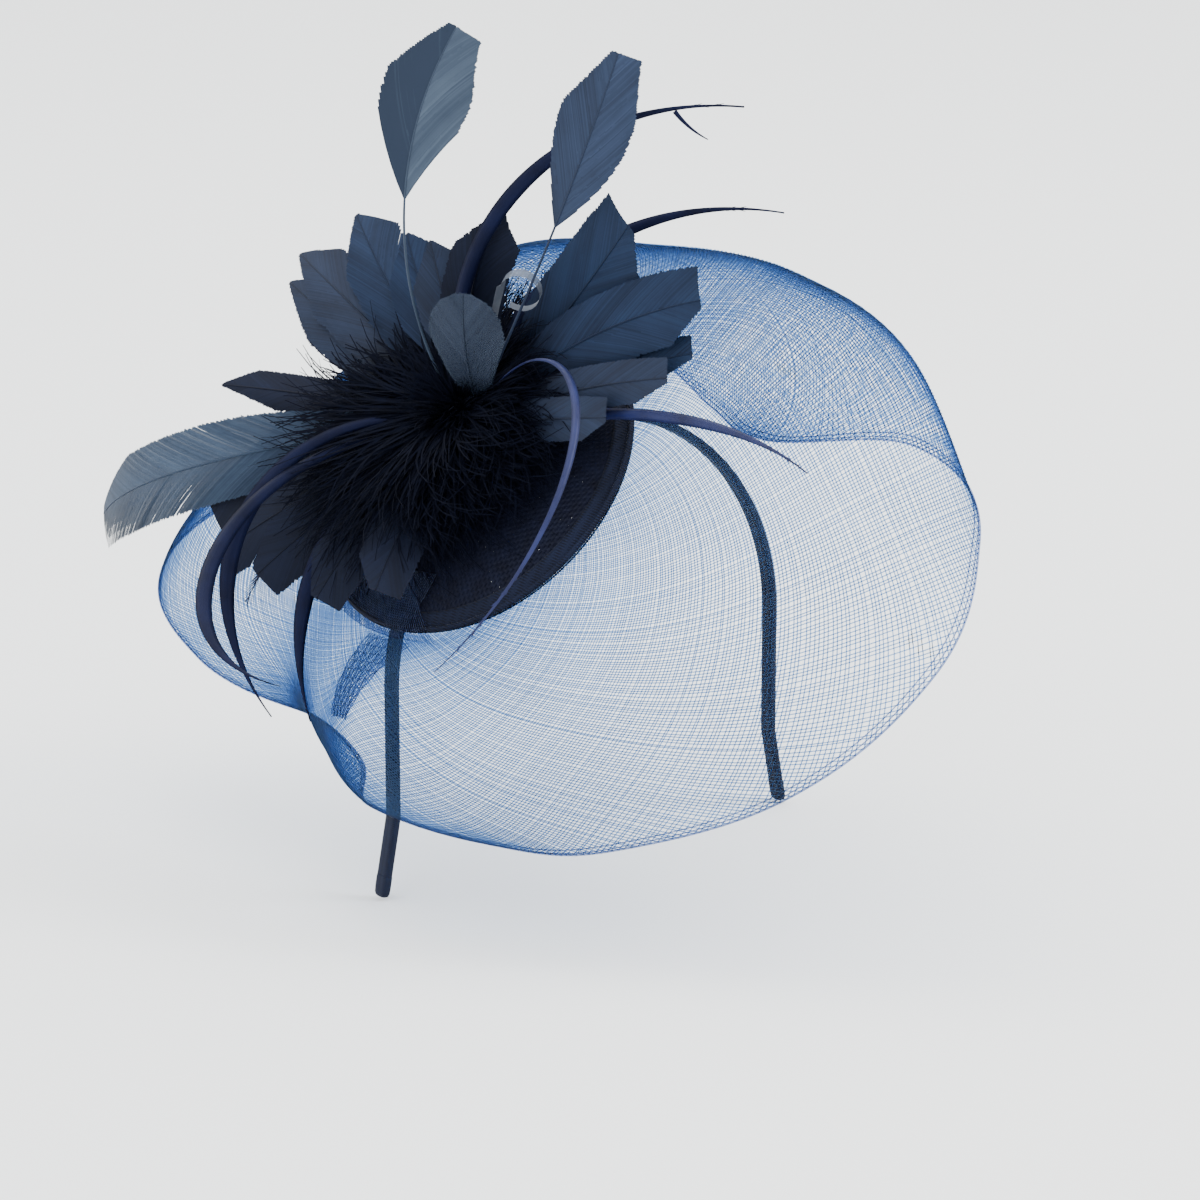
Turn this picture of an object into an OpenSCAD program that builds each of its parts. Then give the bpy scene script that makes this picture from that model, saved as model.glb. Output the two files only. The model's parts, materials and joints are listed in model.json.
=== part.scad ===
// Fascinator headpiece: sinamay base, wavy crin brim, feather spray and a wrapped Alice band.
// The frame is the wearer's: +Z up, -Y the way the face looks, +X the wearer's left.
// The origin is the centre of the band's crown arc, so the band grips a round head there.

/* [Headband] */
// Inside radius of the crown arc, where it meets the head
band_r = 70; // [66:0.5:74]
// Width of the wrapped band, front to back
band_w = 5.2; // [4:0.2:8]
// Thickness of the wrapped band
band_t = 2.6; // [2.2:0.1:3.4]
// Thickness of the fabric wrap round the spring strip
wrap_t = 0.7; // [0.5:0.1:0.9]
// Half of the angle that the crown piece covers
crown_half = 66; // [60:1:70]
// Length of the straight part of each arm below the arc
arm_straight = 38; // [25:1:50]
// Length of the flared end of each arm
arm_flare = 24; // [12:1:30]
// How far the ends turn out from the head, in degrees
flare_angle = 11; // [0:1:20]
// Gap between the crown and each arm, at the place where the band bends
bend_gap = 0.6; // [0.5:0.1:1]

/* [Base placement] */
// Centre of the base's rim plane
base_at = [-39, 0, 58]; // [-60:1:80]
// Tilt of the base towards the wearer's right
base_tilt = 47; // [35:1:55]
// Lean of the base towards the front
base_lean = 5; // [0:1:15]
// Turn of the base about its own axis
base_turn = -18; // [-40:1:10]

/* [Sinamay base] */
// Radius of the rim, to the middle of its binding
base_r = 51; // [48:0.5:56]
// Rise of the dome above its rim plane
base_rise = 11; // [9:0.5:13]
// Thickness of one straw layer
layer_t = 0.5; // [0.4:0.05:0.7]
// Radius of the bound edge's section
edge_r = 1.2; // [1:0.1:1.6]
// Radius of the wire in the edge
wire_r = 0.5; // [0.4:0.05:0.7]

/* [Crin brim] */
// Thickness of the mesh
crin_t = 0.5; // [0.4:0.1:0.8]
// Inner radius of the flat ring that is sewn under the base
crin_in = 48.5; // [48:0.5:50]
// Radius at which the brim leaves the base
crin_out = 53; // [52.5:0.5:55]
// Height of that ring, below the rim plane
crin_h = -1.1; // [-1.5:0.1:-1]
// Radius of the cord along the brim's outer edge
selvedge_r = 0.5; // [0.4:0.05:0.6]

/* [Feather spray] */
// Where the spray is bound, in the base's own frame
spray_at = [10, 6, 12.5]; // [0:0.5:20]
// Thickness of a feather's vane
vane_t = 0.8; // [0.6:0.1:1.2]
// Thickness of a bare quill
quill_t = 1.2; // [1:0.1:1.6]
// Radius of the root binding
core_r = 5; // [4:0.5:6]
// Height of the root binding above the spray's centre
core_h = 7; // [5:0.5:9]
// Radius of the mounting disc under the spray
disc_r = 15; // [12:1:20]
// Thickness of the mounting disc
disc_t = 1; // [0.8:0.1:1.5]
// Radius of the hackle ruff
ruff_r = 32; // [26:1:38]
// Thickness of the hackle ruff
ruff_t = 2; // [1:0.1:2.4]

/* [Hidden] */

// Brim stations: [angle round the base, width, start slope, total turn downwards]
brim_waves = [
    [0, 140, 2, 216], [30, 125, -6, 177], [60, 111, 3, 136], [90, 102, 0, 121], [125, 102, 2, 52],
    [150, 69, 7, 63], [170, 53, -6, 97], [190, 60, 7, 139], [210, 61, 28, 121], [230, 73, 12, 111],
    [250, 80, -4, 58], [270, 96, -7, 53], [290, 110, -4, 46], [310, 109, -3, 78], [335, 128, 12, 164]];

// Feathers, in the base's own frame:
// [name, kind, [root radius, root angle, root height], [azimuth, elevation], length,
//  droop, sweep, width, roll]
// Root places are about the spray's centre. Droop bends the tip down and sweep bends it
// sideways, both over the whole length.
feathers = [
    ["stem_feather_left", "stem", [6.6, 85, 6], [26, 78], 116, 62, -22, 25, 45],
    ["stem_feather_right", "stem", [6.6, -30, 6], [-34, 42], 122, 10, 38, 21, 45],
    ["strand_top", "strand", [7, 44, 7], [2, 66.5], 141, 100, -41, 4.5, 45],
    ["strand_side", "strand", [8, 3, 4], [1, 38], 112, 81, -37, 4, 45],
    ["strand_right", "strand", [12, -60, 0], [-50, 5], 140, -8, -39, 3.4, 15],
    ["strand_front", "strand", [8, -48, 7], [-31, 36], 173, 60, -182, 3.4, -40],
    ["left_cut_feather", "cut", [10, 136, 3], [147, 22], 157, 61, -33, 24, -30],
    ["biot_1", "biot", [9, 159, 4.2], [152, 36], 159, 40, 145, 5, -25],
    ["biot_2", "biot", [8.5, 150, 6.4], [149, 46], 128, 97, 108, 5, -35],
    ["biot_3", "biot", [9, 181, 3.6], [170, 22], 101, 79, 45, 5, -40],
    ["ragged_biot", "biot", [9, 163, 1.2], [163, 22], 83, 57, 5, 3.4, 0],
    ["back_feather_1", "point", [9, 80, 2], [76, 42], 75, 46, 0, 20, 12],
    ["back_feather_2", "point", [9, 95, 1], [91, 38], 79, 40, 0, 20, 0],
    ["back_feather_3", "point", [9, 108, 0], [100, 32], 76, 30, -8, 19, -5],
    ["back_feather_4", "point", [9, 62, 3], [62, 50], 52, 36, 0, 18, 20],
    ["back_feather_5", "point", [9, 45, 3], [45, 55], 45, 14, 0, 16, 28],
    ["back_feather_6", "point", [9, 122, 0], [122, 20], 80, 15, 0, 12, -8],
    ["dark_centre_feather", "point", [9, 27, 3], [17, 67], 59, 42, -35, 18, 50],
    ["curled_feather", "curl", [9, -17, 4], [-13, 60], 58, 24, -2, 6, 60],
    ["round_centre_feather", "round", [7.5, -62, 5.6], [-30, 72], 46, 18, 20, 21, 66],
    ["right_cut_feather_1", "cut", [9, -15, 1], [-17, 22], 79, -15, -23, 24, 45],
    ["right_cut_feather_2", "cut", [9, -33, 4.5], [-31, 19], 86, 10, -24, 20, 40],
    ["right_cut_feather_3", "cut", [9, -46, 1], [-43, 14], 73, 13, -5, 11, 35],
    ["right_cut_feather_4", "cut", [9, -57, 2.5], [-49, 17], 68, 18, -4, 12, 35],
    ["right_cut_feather_5", "cut", [9, -72, 4], [-66, 16], 50, 18, 12, 12, 30],
    ["low_cut_feather_1", "cut", [9, 142, 0.8], [143, 11], 84, 22, 0, 18, -35],
    ["low_cut_feather_2", "cut", [9, 157, 1], [157, 13], 78, 22, 0, 18, -28],
    ["low_cut_feather_3", "cut", [9, 172, 1], [171, 15], 68, 22, 0, 18, -40],
    ["low_cut_feather_4", "cut", [9, 188, 1.6], [190, 15], 60, 22, 6, 16, -40],
    ["low_cut_feather_5", "cut", [9, 210, 2], [212, 17], 56, 15, 8, 16, -40]];

dome_r = (base_r * base_r + base_rise * base_rise) / (2 * base_rise);
dome_z = base_rise - dome_r;
// Clearance between parts that lie against each other
slip = 0.05;
navy = "#101a38";
dark_navy = "#0c1228";
slate = "#2c3c60";
violet = "#20245c";
crin_blue = [0.36, 0.49, 0.78, 0.6];
crin_fold_blue = "#2c4a9c";

// ---- the base's own frame ----
module on_base() {
    translate(base_at)
        rotate([0, -base_tilt, 0])
            rotate([base_lean, 0, 0])
                rotate([0, 0, base_turn])
                    children();
}

// ---- headband ----
// Angles that the bend gap and the wrap's end caps take up on the arc
gap_angle = bend_gap / band_r * 180 / PI;
cap_angle = wrap_t / band_r * 180 / PI;
// Length of the folded fabric tab at the end of each arm
tab_len = 6;

// A bar bent to the band's arc, from one angle off the crown to another
module band_arc(from, to, inset) {
    rotate([90, 0, 0])
        rotate([0, 0, 90 - to])
            rotate_extrude(angle = to - from, $fn = 180)
                translate([band_r + inset, -band_w / 2 + inset])
                    square([band_t - 2 * inset, band_w - 2 * inset]);
}

// One arm on the wearer's left: the rest of the arc, a straight part and a flared end
module band_arm(inset, short) {
    mid = band_r + band_t / 2;
    t = band_t - 2 * inset;
    w = band_w - 2 * inset;
    band_arc(crown_half + gap_angle + (inset > 0 ? cap_angle : 0), 90, inset);
    translate([mid - t / 2, -w / 2, -arm_straight])
        cube([t, w, arm_straight]);
    translate([mid, 0, -arm_straight]) {
        rotate([90, 0, 0])
            cylinder(r = t / 2, h = w, center = true, $fn = 48);
        rotate([0, -flare_angle, 0])
            translate([-t / 2, -w / 2, -arm_flare + short])
                cube([t, w, arm_flare - short]);
    }
}

module band_spring_crown() {
    color(navy)
        band_arc(-crown_half + cap_angle, crown_half - cap_angle, wrap_t);
}

module band_wrap_crown() {
    color(navy)
        difference() {
            band_arc(-crown_half, crown_half, 0);
            band_arc(-crown_half + cap_angle, crown_half - cap_angle, wrap_t - slip);
        }
}

module band_spring_left() {
    color(navy)
        band_arm(wrap_t, tab_len + wrap_t);
}

module band_spring_right() {
    mirror([1, 0, 0])
        band_spring_left();
}

module band_wrap_left() {
    color(navy)
        difference() {
            band_arm(0, tab_len);
            band_arm(wrap_t - slip, tab_len + wrap_t - slip);
        }
}

module band_wrap_right() {
    mirror([1, 0, 0])
        band_wrap_left();
}

module band_end_left() {
    color(navy)
        translate([band_r + band_t / 2, 0, -arm_straight])
            rotate([0, -flare_angle, 0])
                translate([-band_t / 2, -band_w / 2, -arm_flare])
                    cube([band_t, band_w, tab_len - slip]);
}

module band_end_right() {
    mirror([1, 0, 0])
        band_end_left();
}

// ---- felt patch and stitches, between the band and the base ----
// Where the patch sits in the base's own frame
patch_at = [-15, -4];
patch_r = 12;
stitches = 6;
stitch_r = 0.35;
stitch_ring = 9;
// Turns the stitches so that none lies on the band's edge
stitch_turn = 48;

// The space between the band's outside and the underside of the dome
module patch_space(radius) {
    difference() {
        intersection() {
            on_base()
                translate([patch_at[0], patch_at[1], 0])
                    cylinder(r = radius, h = base_rise, $fn = 64);
            on_base()
                translate([0, 0, dome_z])
                    sphere(r = dome_r - 2 * layer_t - 3 * slip, $fn = 120);
        }
        rotate([90, 0, 0])
            cylinder(r = band_r + band_t + slip, h = 4 * patch_r, center = true, $fn = 180);
    }
}

module stitch_holes(radius) {
    on_base()
        translate([patch_at[0], patch_at[1], 0])
            for (k = [0 : stitches - 1])
                rotate([0, 0, stitch_turn + k * 360 / stitches])
                    translate([stitch_ring, 0, 0])
                        cylinder(r = radius, h = base_rise, $fn = 24);
}

module felt_patch() {
    color(dark_navy)
        difference() {
            patch_space(patch_r);
            stitch_holes(stitch_r + slip);
        }
}

module joining_stitches() {
    color(violet)
        intersection() {
            patch_space(patch_r - slip);
            stitch_holes(stitch_r);
        }
}

// ---- sinamay base ----
module dome_layer(outer) {
    color(navy)
        on_base()
            intersection() {
                translate([0, 0, dome_z])
                    difference() {
                        sphere(r = outer, $fn = 160);
                        sphere(r = outer - layer_t, $fn = 160);
                    }
                cylinder(r = base_r - edge_r - slip, h = base_rise + 1, $fn = 160);
            }
}

module base_layer_upper() {
    dome_layer(dome_r);
}

module base_layer_lower() {
    dome_layer(dome_r - layer_t - slip);
}

// Height of the bound edge above the rim plane
edge_h = 0.6;

module ring(radius, height, section, hole) {
    rotate_extrude($fn = 160)
        translate([radius, height])
            difference() {
                circle(r = section, $fn = 40);
                if (hole > 0)
                    circle(r = hole, $fn = 24);
            }
}

module base_edge_binding() {
    color(dark_navy)
        on_base()
            ring(base_r, edge_h, edge_r, wire_r + slip);
}

module base_edge_wire() {
    color("silver")
        on_base()
            ring(base_r, edge_h, wire_r, 0);
}

// ---- crin brim ----
brim_rows = 14;
brim_cols = 90;

// Smooth periodic curve through the stations
function wrap_index(i) = (i + len(brim_waves)) % len(brim_waves);
function station_angle(i) = brim_waves[wrap_index(i)][0] + 360 * floor(i / len(brim_waves));
function station_value(i, k) = brim_waves[wrap_index(i)][k];
function last_station(psi) = max([for (i = [0 : len(brim_waves) - 1]) if (brim_waves[i][0] <= psi) i]);
function station_slope(i, k) =
    (station_value(i + 1, k) - station_value(i - 1, k)) / (station_angle(i + 1) - station_angle(i - 1));
function hermite(t, y0, m0, y1, m1) =
    y0 * (1 + 2 * t) * pow(1 - t, 2) + m0 * t * pow(1 - t, 2)
    + y1 * t * t * (3 - 2 * t) + m1 * t * t * (t - 1);
function wave(psi, k) =
    let (i = last_station(psi), span = station_angle(i + 1) - station_angle(i),
         t = (psi - station_angle(i)) / span)
    hermite(t, station_value(i, k), station_slope(i, k) * span,
            station_value(i + 1, k), station_slope(i + 1, k) * span);

// How late the brim turns down: 1 is an even curve, more leaves it flatter near the base
turn_power = 1.5;
// Radial section of the brim at one angle, as [radius, height, slope] from the base outwards
function brim_slope(start, turn, s) = start - turn * pow(s, turn_power);
function brim_section(psi, rows) =
    let (step = wave(psi, 1) / rows, start = wave(psi, 2), turn = wave(psi, 3))
    [for (i = 0, r = crin_out, h = crin_h; i <= rows;
          r = r + step * cos(brim_slope(start, turn, (i + 0.5) / rows)),
          h = h + step * sin(brim_slope(start, turn, (i + 0.5) / rows)), i = i + 1)
        [r, h, brim_slope(start, turn, i / rows)]];

// The section with its flat inner ring, shifted along its normal
function shifted(p, d) = [p[0] - d * sin(p[2]), p[1] + d * cos(p[2])];
function brim_side(psi, d) =
    concat([[crin_in, crin_h + d]], [for (p = brim_section(psi, brim_rows)) shifted(p, d)]);
function around(psi, rh) = [rh[0] * cos(psi), rh[0] * sin(psi), rh[1]];
function reversed(list) = [for (i = [len(list) - 1 : -1 : 0]) list[i]];

// Closed skin over rings of points that follow each other round a loop
function loop_faces(rings, sides) =
    [for (i = [0 : rings - 1], j = [0 : sides - 1])
        let (a = i * sides + j, b = i * sides + (j + 1) % sides,
             c = ((i + 1) % rings) * sides + (j + 1) % sides, d = ((i + 1) % rings) * sides + j)
        each [[a, c, b], [a, d, c]]];

// Closed skin over rings of points with a cap at each end
function tube_faces(rings, sides) = concat(
    [for (i = [0 : rings - 2], j = [0 : sides - 1])
        let (a = i * sides + j, b = i * sides + (j + 1) % sides)
        each [[a, b, b + sides], [a, b + sides, a + sides]]],
    [[for (j = [sides - 1 : -1 : 0]) j]],
    [[for (j = [0 : sides - 1]) (rings - 1) * sides + j]]);

module crin_brim() {
    sides = 2 * (brim_rows + 2);
    points = [for (i = [0 : brim_cols - 1])
        let (psi = i * 360 / brim_cols)
        each [for (p = concat(brim_side(psi, crin_t / 2), reversed(brim_side(psi, -crin_t / 2))))
            around(psi, p)]];
    color(crin_blue)
        on_base()
            polyhedron(points, loop_faces(brim_cols, sides));
}

selvedge_sides = 6;
// The cord's centre lies this many of its radii past the mesh's edge
selvedge_reach = 1.4;

module crin_selvedge() {
    points = [for (i = [0 : brim_cols - 1])
        let (psi = i * 360 / brim_cols, p = brim_section(psi, brim_rows)[brim_rows],
             reach = selvedge_reach * selvedge_r,
             mid = [p[0] + reach * cos(p[2]), p[1] + reach * sin(p[2])])
        for (j = [0 : selvedge_sides - 1])
            let (a = j * 360 / selvedge_sides)
            around(psi, mid + selvedge_r * [cos(a), -sin(a)])];
    color(crin_fold_blue)
        on_base()
            polyhedron(points, loop_faces(brim_cols, selvedge_sides));
}

thread_r = 0.25;

module crin_gather_thread() {
    color(violet)
        on_base()
            ring((crin_in + crin_out) / 2, crin_h - crin_t / 2 - thread_r - slip, thread_r, 0);
}

// The gathered end of the crin, tucked under the brim beside the band
tail_angle = 200;
tail_half = 5;
tail_gap = 2;
tail_rows = 8;

module crin_tail() {
    section = brim_section(tail_angle, 2 * tail_rows);
    sideways = [sin(tail_angle), -cos(tail_angle), 0];
    top = -tail_gap - crin_t / 2;
    points = [for (i = [0 : tail_rows])
        let (low = around(tail_angle, shifted(section[i], top - crin_t)),
             high = around(tail_angle, shifted(section[i], top)),
             half = tail_half * (1.2 - 0.7 * i / tail_rows) * sideways)
        each [low + half, high + half, high - half, low - half]];
    color(crin_fold_blue)
        on_base()
            polyhedron(points, tube_faces(tail_rows + 1, 4));
}

// ---- feather spray ----
module spray_mount_disc() {
    color(dark_navy)
        on_base()
            intersection() {
                translate([0, 0, dome_z])
                    difference() {
                        sphere(r = dome_r + slip + disc_t, $fn = 160);
                        sphere(r = dome_r + slip, $fn = 160);
                    }
                translate([spray_at[0], spray_at[1], 0])
                    cylinder(r = disc_r, h = 2 * base_rise, $fn = 80);
            }
}

module spray_root_binding() {
    color(dark_navy)
        on_base()
            difference() {
                translate([spray_at[0], spray_at[1], base_rise / 2])
                    cylinder(r = core_r, h = spray_at[2] - base_rise / 2 + core_h, $fn = 64);
                translate([0, 0, dome_z])
                    sphere(r = dome_r + disc_t + 2 * slip, $fn = 160);
            }
}

// Clearance under and inside the ruff
ruff_gap = 0.4;

module hackle_ruff() {
    color("#070a18")
        on_base()
            intersection() {
                translate([0, 0, dome_z])
                    difference() {
                        sphere(r = dome_r + ruff_gap + ruff_t, $fn = 160);
                        sphere(r = dome_r + ruff_gap, $fn = 160);
                    }
                translate([spray_at[0], spray_at[1], 0])
                    difference() {
                        cylinder(r = ruff_r, h = 2 * base_rise, $fn = 160);
                        cylinder(r = disc_r + ruff_gap, h = 2 * base_rise, $fn = 160);
                    }
            }
}

feather_steps = 12;

// Direction of a feather's quill at a share s of its length
function quill_dir(f, s) =
    let (z = f[3][0] + f[6] * s, e = f[3][1] - f[5] * s)
    [cos(e) * cos(z), cos(e) * sin(z), sin(e)];
function quill_root(f) =
    [spray_at[0] + f[2][0] * cos(f[2][1]), spray_at[1] + f[2][0] * sin(f[2][1]), spray_at[2] + f[2][2]];
function quill_path(f, n) =
    [for (i = 0, p = quill_root(f); i <= n; p = p + f[4] / n * quill_dir(f, (i + 0.5) / n), i = i + 1) p];

// Direction across the vane at a share s of the length, turned by the feather's roll
function across(f, s) =
    let (z = f[3][0] + f[6] * s, d = quill_dir(f, s), side = [-sin(z), cos(z), 0])
    side * cos(f[8]) + cross(d, side) * sin(f[8]);

// Half widths of the vane, as a share of its full width, on its left and right
function blend(a, b, t) = a + (b - a) * max(0, min(1, t));
function vane_share(kind, s, right) =
    kind == "stem" ? (s < 0.58 ? 0.03 : s < 0.8 ? blend(0.03, 0.5, (s - 0.58) / 0.22)
                      : blend(0.5, right ? 0.3 : 0.08, (s - 0.85) / 0.15)) :
    kind == "strand" ? blend(0.5, 0.12, (s - 0.5) / 0.5) :
    kind == "biot" ? (s < 0.5 ? blend(0.2, 0.5, s / 0.5) : blend(0.5, 0.08, (s - 0.5) / 0.5)) :
    kind == "cut" ? (s < 0.7 ? blend(0.08, 0.5, s / 0.7)
                     : blend(0.5, right ? 0.1 : 0.45, (s - 0.8) / 0.2)) :
    kind == "point" ? blend(0.08, 0.5, s / 0.45) * blend(1, 0.08, (s - 0.5) / 0.5) :
    kind == "round" ? blend(0.08, 0.5, s / 0.6) * sqrt(max(0.04, 1 - pow(max(0, s - 0.6) / 0.4, 2))) :
    blend(0.2, 0.5, s / 0.6) * blend(1, 0.3, (s - 0.6) / 0.4);

module feather(f) {
    path = quill_path(f, feather_steps);
    points = [for (i = [0 : feather_steps])
        let (s = i / feather_steps, d = quill_dir(f, s), a = across(f, s), n = cross(d, a),
             left = max(quill_t / 2, f[7] * vane_share(f[1], s, false)),
             right = max(quill_t / 2, f[7] * vane_share(f[1], s, true)),
             t = min(vane_t, left + right) / 2)
        each [path[i] + left * a, path[i] - t * n, path[i] - right * a, path[i] + t * n]];
    color(f[1] == "cut" || f[1] == "stem" ? slate : f[1] == "strand" || f[1] == "biot" ? violet : navy)
        on_base()
            polyhedron(points, tube_faces(feather_steps + 1, 4));
}

band_spring_crown();
band_spring_left();
band_spring_right();
band_wrap_crown();
band_wrap_left();
band_wrap_right();
band_end_left();
band_end_right();
felt_patch();
joining_stitches();
base_layer_lower();
base_layer_upper();
base_edge_wire();
base_edge_binding();
crin_brim();
crin_selvedge();
crin_gather_thread();
crin_tail();
spray_mount_disc();
spray_root_binding();
hackle_ruff();
for (f = feathers)
    feather(f);
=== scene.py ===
"""Fascinator headpiece: the looks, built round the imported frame.

Working sizes are millimetres, which mesh_piece() turns into metres. The brim's surface and the
feathers' centre lines come from the same tables as in the CAD source. The feathers' outlines are
smoother than the CAD's, and the gathered end of the crin is wider at its top.
"""
import json
from math import cos, pi, radians, sin

import bpy
import numpy as np
from mathutils import Matrix, Vector


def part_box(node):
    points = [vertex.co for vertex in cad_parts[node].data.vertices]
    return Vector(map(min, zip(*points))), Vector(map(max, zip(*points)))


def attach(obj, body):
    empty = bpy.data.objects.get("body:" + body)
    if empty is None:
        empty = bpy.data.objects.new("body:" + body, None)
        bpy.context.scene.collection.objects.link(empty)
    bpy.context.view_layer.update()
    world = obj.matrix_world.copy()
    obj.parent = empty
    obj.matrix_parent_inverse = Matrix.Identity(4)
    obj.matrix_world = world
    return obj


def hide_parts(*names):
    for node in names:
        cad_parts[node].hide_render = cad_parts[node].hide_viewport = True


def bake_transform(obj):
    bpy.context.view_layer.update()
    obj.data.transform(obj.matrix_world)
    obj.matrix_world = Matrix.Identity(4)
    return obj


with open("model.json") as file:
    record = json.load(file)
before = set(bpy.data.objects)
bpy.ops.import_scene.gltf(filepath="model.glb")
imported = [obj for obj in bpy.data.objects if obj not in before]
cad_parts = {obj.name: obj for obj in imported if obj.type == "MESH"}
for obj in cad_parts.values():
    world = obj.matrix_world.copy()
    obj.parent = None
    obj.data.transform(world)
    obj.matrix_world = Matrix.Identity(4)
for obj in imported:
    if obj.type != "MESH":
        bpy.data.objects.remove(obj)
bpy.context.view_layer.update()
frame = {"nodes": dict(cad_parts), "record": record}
nodes = frame["nodes"]
MM = 0.001
random = np.random.default_rng(7)

# ---- driving sizes, as in the CAD source (mm and degrees) ----
BAND_R, BAND_W, BAND_T = 70.0, 5.2, 2.6
CROWN_HALF, ARM_STRAIGHT, ARM_FLARE, FLARE_ANGLE, BEND_GAP, TAB_LEN = 66.0, 38.0, 24.0, 11.0, 0.6, 6.0
BASE_AT, BASE_TILT, BASE_LEAN, BASE_TURN = (-39.0, 0.0, 58.0), 47.0, 5.0, -18.0
BASE_R, BASE_RISE, LAYER_T, EDGE_R, EDGE_H = 51.0, 11.0, 0.5, 1.2, 0.6
CRIN_OUT, CRIN_H, TURN_POWER = 53.0, -1.1, 1.5
TAIL_ANGLE, TAIL_HALF = 200.0, 5.0
SPRAY_AT = (10.0, 6.0, 12.5)
DOME_R = (BASE_R ** 2 + BASE_RISE ** 2) / (2 * BASE_RISE)
DOME_Z = BASE_RISE - DOME_R

# Brim stations: angle round the base, width, start slope, total turn downwards
BRIM_WAVES = np.array([
    (0, 140, 2, 216), (30, 125, -6, 177), (60, 111, 3, 136), (90, 102, 0, 121), (125, 102, 2, 52),
    (150, 69, 7, 63), (170, 53, -6, 97), (190, 60, 7, 139), (210, 61, 28, 121), (230, 73, 12, 111),
    (250, 80, -4, 58), (270, 96, -7, 53), (290, 110, -4, 46), (310, 109, -3, 78), (335, 128, 12, 164)], float)

# Feathers: name, kind, root (radius, angle, height), azimuth, elevation, length, droop, sweep, width, roll
FEATHERS = [
    ("stem_feather_left", "stem", (6.6, 85, 6), 26, 78, 116, 62, -22, 25, 45),
    ("stem_feather_right", "stem", (6.6, -30, 6), -34, 42, 122, 10, 38, 21, 45),
    ("strand_top", "strand", (7, 44, 7), 2, 66.5, 141, 100, -41, 4.5, 45),
    ("strand_side", "strand", (8, 3, 4), 1, 38, 112, 81, -37, 4, 45),
    ("strand_right", "strand", (12, -60, 0), -50, 5, 140, -8, -39, 3.4, 15),
    ("strand_front", "strand", (8, -48, 7), -31, 36, 173, 60, -182, 3.4, -40),
    ("left_cut_feather", "cut", (10, 136, 3), 147, 22, 157, 61, -33, 24, -30),
    ("biot_1", "biot", (9, 159, 4.2), 152, 36, 159, 40, 145, 5, -25),
    ("biot_2", "biot", (8.5, 150, 6.4), 149, 46, 128, 97, 108, 5, -35),
    ("biot_3", "biot", (9, 181, 3.6), 170, 22, 101, 79, 45, 5, -40),
    ("ragged_biot", "biot", (9, 163, 1.2), 163, 22, 83, 57, 5, 3.4, 0),
    ("back_feather_1", "point", (9, 80, 2), 76, 42, 75, 46, 0, 20, 12),
    ("back_feather_2", "point", (9, 95, 1), 91, 38, 79, 40, 0, 20, 0),
    ("back_feather_3", "point", (9, 108, 0), 100, 32, 76, 30, -8, 19, -5),
    ("back_feather_4", "point", (9, 62, 3), 62, 50, 52, 36, 0, 18, 20),
    ("back_feather_5", "point", (9, 45, 3), 45, 55, 45, 14, 0, 16, 28),
    ("back_feather_6", "point", (9, 122, 0), 122, 20, 80, 15, 0, 12, -8),
    ("dark_centre_feather", "point", (9, 27, 3), 17, 67, 59, 42, -35, 18, 50),
    ("curled_feather", "curl", (9, -17, 4), -13, 60, 58, 24, -2, 6, 60),
    ("round_centre_feather", "round", (7.5, -62, 5.6), -30, 72, 46, 18, 20, 21, 66),
    ("right_cut_feather_1", "cut", (9, -15, 1), -17, 22, 79, -15, -23, 24, 45),
    ("right_cut_feather_2", "cut", (9, -33, 4.5), -31, 19, 86, 10, -24, 20, 40),
    ("right_cut_feather_3", "cut", (9, -46, 1), -43, 14, 73, 13, -5, 11, 35),
    ("right_cut_feather_4", "cut", (9, -57, 2.5), -49, 17, 68, 18, -4, 12, 35),
    ("right_cut_feather_5", "cut", (9, -72, 4), -66, 16, 50, 18, 12, 12, 30),
    ("low_cut_feather_1", "cut", (9, 142, 0.8), 143, 11, 84, 22, 0, 18, -35),
    ("low_cut_feather_2", "cut", (9, 157, 1), 157, 13, 78, 22, 0, 18, -28),
    ("low_cut_feather_3", "cut", (9, 172, 1), 171, 15, 68, 22, 0, 18, -40),
    ("low_cut_feather_4", "cut", (9, 188, 1.6), 190, 15, 60, 22, 6, 16, -40),
    ("low_cut_feather_5", "cut", (9, 210, 2), 212, 17, 56, 15, 8, 16, -40)]

BODY_OF = {n: body for body, names in frame["record"]["behaviour"]["bodies"].items() for n in names}
SLOT_OF = {p["node"]: p["material_slot"] for p in frame["record"]["subparts"]}


# ---- camera, at the photograph's viewing angle ----
def add_camera():
    azimuth, elevation, distance, lens = -38.0, 15.0, 1250.0, 125.6
    shift_right, shift_up = 3.9, 14.9
    right = Vector((cos(radians(azimuth)), sin(radians(azimuth)), 0))
    back = Vector((sin(radians(azimuth)) * cos(radians(elevation)),
                   -cos(radians(azimuth)) * cos(radians(elevation)), sin(radians(elevation))))
    up = back.cross(right)
    camera = bpy.data.objects.new("camera", bpy.data.cameras.new("camera"))
    camera.data.lens = lens
    camera.data.clip_end = 60
    place = (right * shift_right + up * shift_up + back * distance) * MM
    camera.matrix_world = Matrix.Translation(place) @ Matrix((right, up, back)).transposed().to_4x4()
    bpy.context.scene.collection.objects.link(camera)
    bpy.context.scene.camera = camera


add_camera()

# ---- the base's own frame ----
turn_y = Matrix.Rotation(radians(-BASE_TILT), 3, "Y")
turn_x = Matrix.Rotation(radians(BASE_LEAN), 3, "X")
turn_z = Matrix.Rotation(radians(BASE_TURN), 3, "Z")
BASE_AXES = np.array(turn_y @ turn_x @ turn_z)


def on_base(points):
    """Points of the base's own frame, in the row frame."""
    return np.asarray(points) @ BASE_AXES.T + np.array(BASE_AT)


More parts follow.
